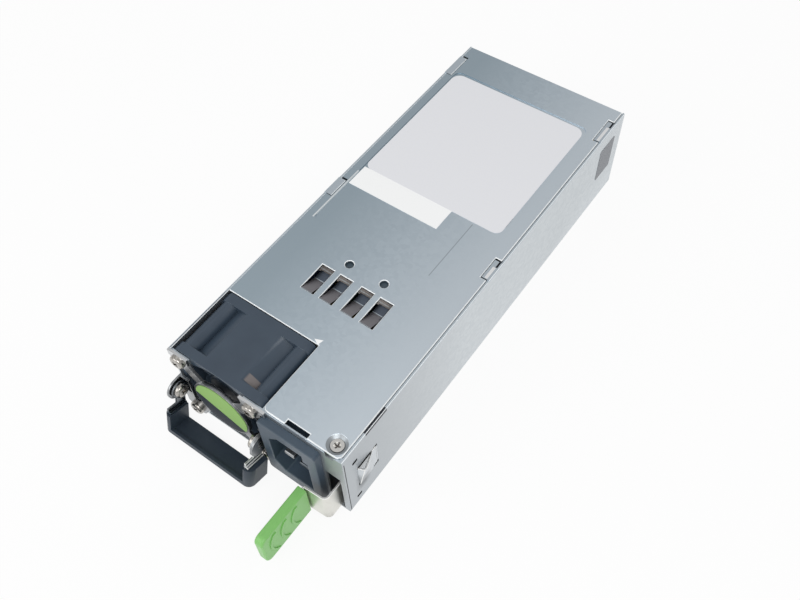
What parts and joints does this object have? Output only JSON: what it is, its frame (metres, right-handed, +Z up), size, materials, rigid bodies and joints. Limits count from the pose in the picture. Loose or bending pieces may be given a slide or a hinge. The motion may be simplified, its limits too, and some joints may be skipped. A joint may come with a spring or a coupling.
{
  "type": "hot swap server power supply",
  "caption": "Long flat sheet-metal power supply module with a fan, hinged bail handle, mains inlet and sprung green latch at the front and a card edge at the rear.",
  "frame": {"origin": "middle of the case's flat underside", "axes": "+Z up through the cover, -Y out of the front with the fan, inlet and latch, +Y towards the rear card edge, +X towards the latch side"},
  "size_m": [0.0758, 0.2233, 0.039],
  "materials": {
    "galvanised_sheet": "zinc-coated sheet with a fine spangle",
    "nickel_plate": "nickel-plated stamped sheet",
    "spring_steel": "bright spring sheet",
    "screw_steel": "plated screw",
    "pin_metal": "nickel-plated contact",
    "fan_plastic": "near-black moulded plastic",
    "handle_plastic": "near-black moulded plastic with a fine grain",
    "inlet_plastic": "near-black moulded plastic",
    "latch_plastic": "green moulded plastic",
    "top_label": "blank silver-grey label",
    "strip_label": "blank white label",
    "patch_label": "blank grey label",
    "guard_label": "blank label, upper half green, lower half dark grey",
    "board": "glass-fibre circuit board, green mask",
    "insulator": "thin insulating sheet",
    "pillar_metal": "turned pillar",
    "gold_contact": "gold-plated pad",
    "ferrite": "dark ferrite",
    "ring_core": "coated ring core",
    "copper_wire": "enamelled copper winding",
    "aluminium_sink": "extruded aluminium",
    "can_sleeve": "sleeved can",
    "film_case": "moulded capacitor case",
    "disc_ceramic": "glazed disc",
    "package_plastic": "moulded package",
    "relay_case": "moulded relay case",
    "tape": "wound bobbin under tape",
    "fuse_glass": "ceramic fuse body",
    "magnet": "bonded magnet ring",
    "steel_bar": "ground steel",
    "bearing_bronze": "sleeve bearing",
    "lamination": "stacked laminations",
    "lead_sleeve": "black sleeved lead",
    "connector": "natural nylon"
  },
  "bodies": {
    "case": {"board_screws": "screw_steel", "board_standoffs": "pillar_metal", "boost_choke_core": "ring_core", "boost_choke_winding": "copper_wire", "boost_heat_sink": "aluminium_sink", "boost_transistors": "package_plastic", "bridge_rectifier": "package_plastic", "bulk_capacitor_1": "can_sleeve", "bulk_capacitor_2": "can_sleeve", "control_card": "board", "control_chips": "package_plastic", "cover": "galvanised_sheet", "cover_screw": "screw_steel", "fan_bearings": "bearing_bronze", "fan_frame": "fan_plastic", "fan_guard": "nickel_plate", "fan_header": "connector", "fan_lead": "lead_sleeve", "fan_plug": "connector", "fan_screws": "screw_steel", "fan_stator": "lamination", "fuse": "fuse_glass", "fuse_clips": "pin_metal", "guard_label": "guard_label", "handle_pivot_left": "screw_steel", "handle_pivot_right": "screw_steel", "inlet_earth_pin": "pin_metal", "inlet_housing": "inlet_plastic", "inlet_line_pin": "pin_metal", "inlet_neutral_pin": "pin_metal", "inrush_relay": "relay_case", "insulator_sheet": "insulator", "latch_foot": "spring_steel", "line_choke_core": "ring_core", "line_choke_windings": "copper_wire", "main_board": "board", "output_capacitors": "can_sleeve", "output_card": "board", "output_card_posts": "pillar_metal", "output_contacts": "gold_contact", "output_heat_sink": "aluminium_sink", "output_rectifiers": "package_plastic", "rating_label": "top_label", "resonant_choke": "tape", "side_patch": "patch_label", "standby_transformer": "tape", "strip_label": "strip_label", "transformer_bobbin": "tape", "transformer_core": "ferrite", "tray": "galvanised_sheet", "x_capacitor": "film_case", "y_capacitors": "disc_ceramic"},
    "fan_wheel": {"fan_rotor": "fan_plastic", "fan_shaft": "steel_bar", "fan_magnet": "magnet"},
    "bail_handle": {"handle_arm_left": "nickel_plate", "handle_arm_right": "nickel_plate", "handle_grip": "handle_plastic"},
    "side_latch": {"latch_spring": "spring_steel", "latch_grip": "latch_plastic"}
  },
  "joints": [
    {"name": "fan_spin", "type": "hinge", "parent": "case", "child": "fan_wheel", "pos_m": [-0.01595, -0.0805, 0.0199], "axis": [0, 1, 0], "continuous": true},
    {"name": "handle_swing", "type": "hinge", "parent": "case", "child": "bail_handle", "pos_m": [-0.0168, -0.0959, 0.0172], "axis": [-1, 0, 0], "range_deg": [0, 95]},
    {"name": "latch_flex", "type": "hinge", "parent": "case", "child": "side_latch", "pos_m": [0.0353, -0.0565, 0.016], "axis": [0, 0, -1], "range_deg": [0, 5.2], "stiffness_Nm_per_rad": 2}
  ]
}
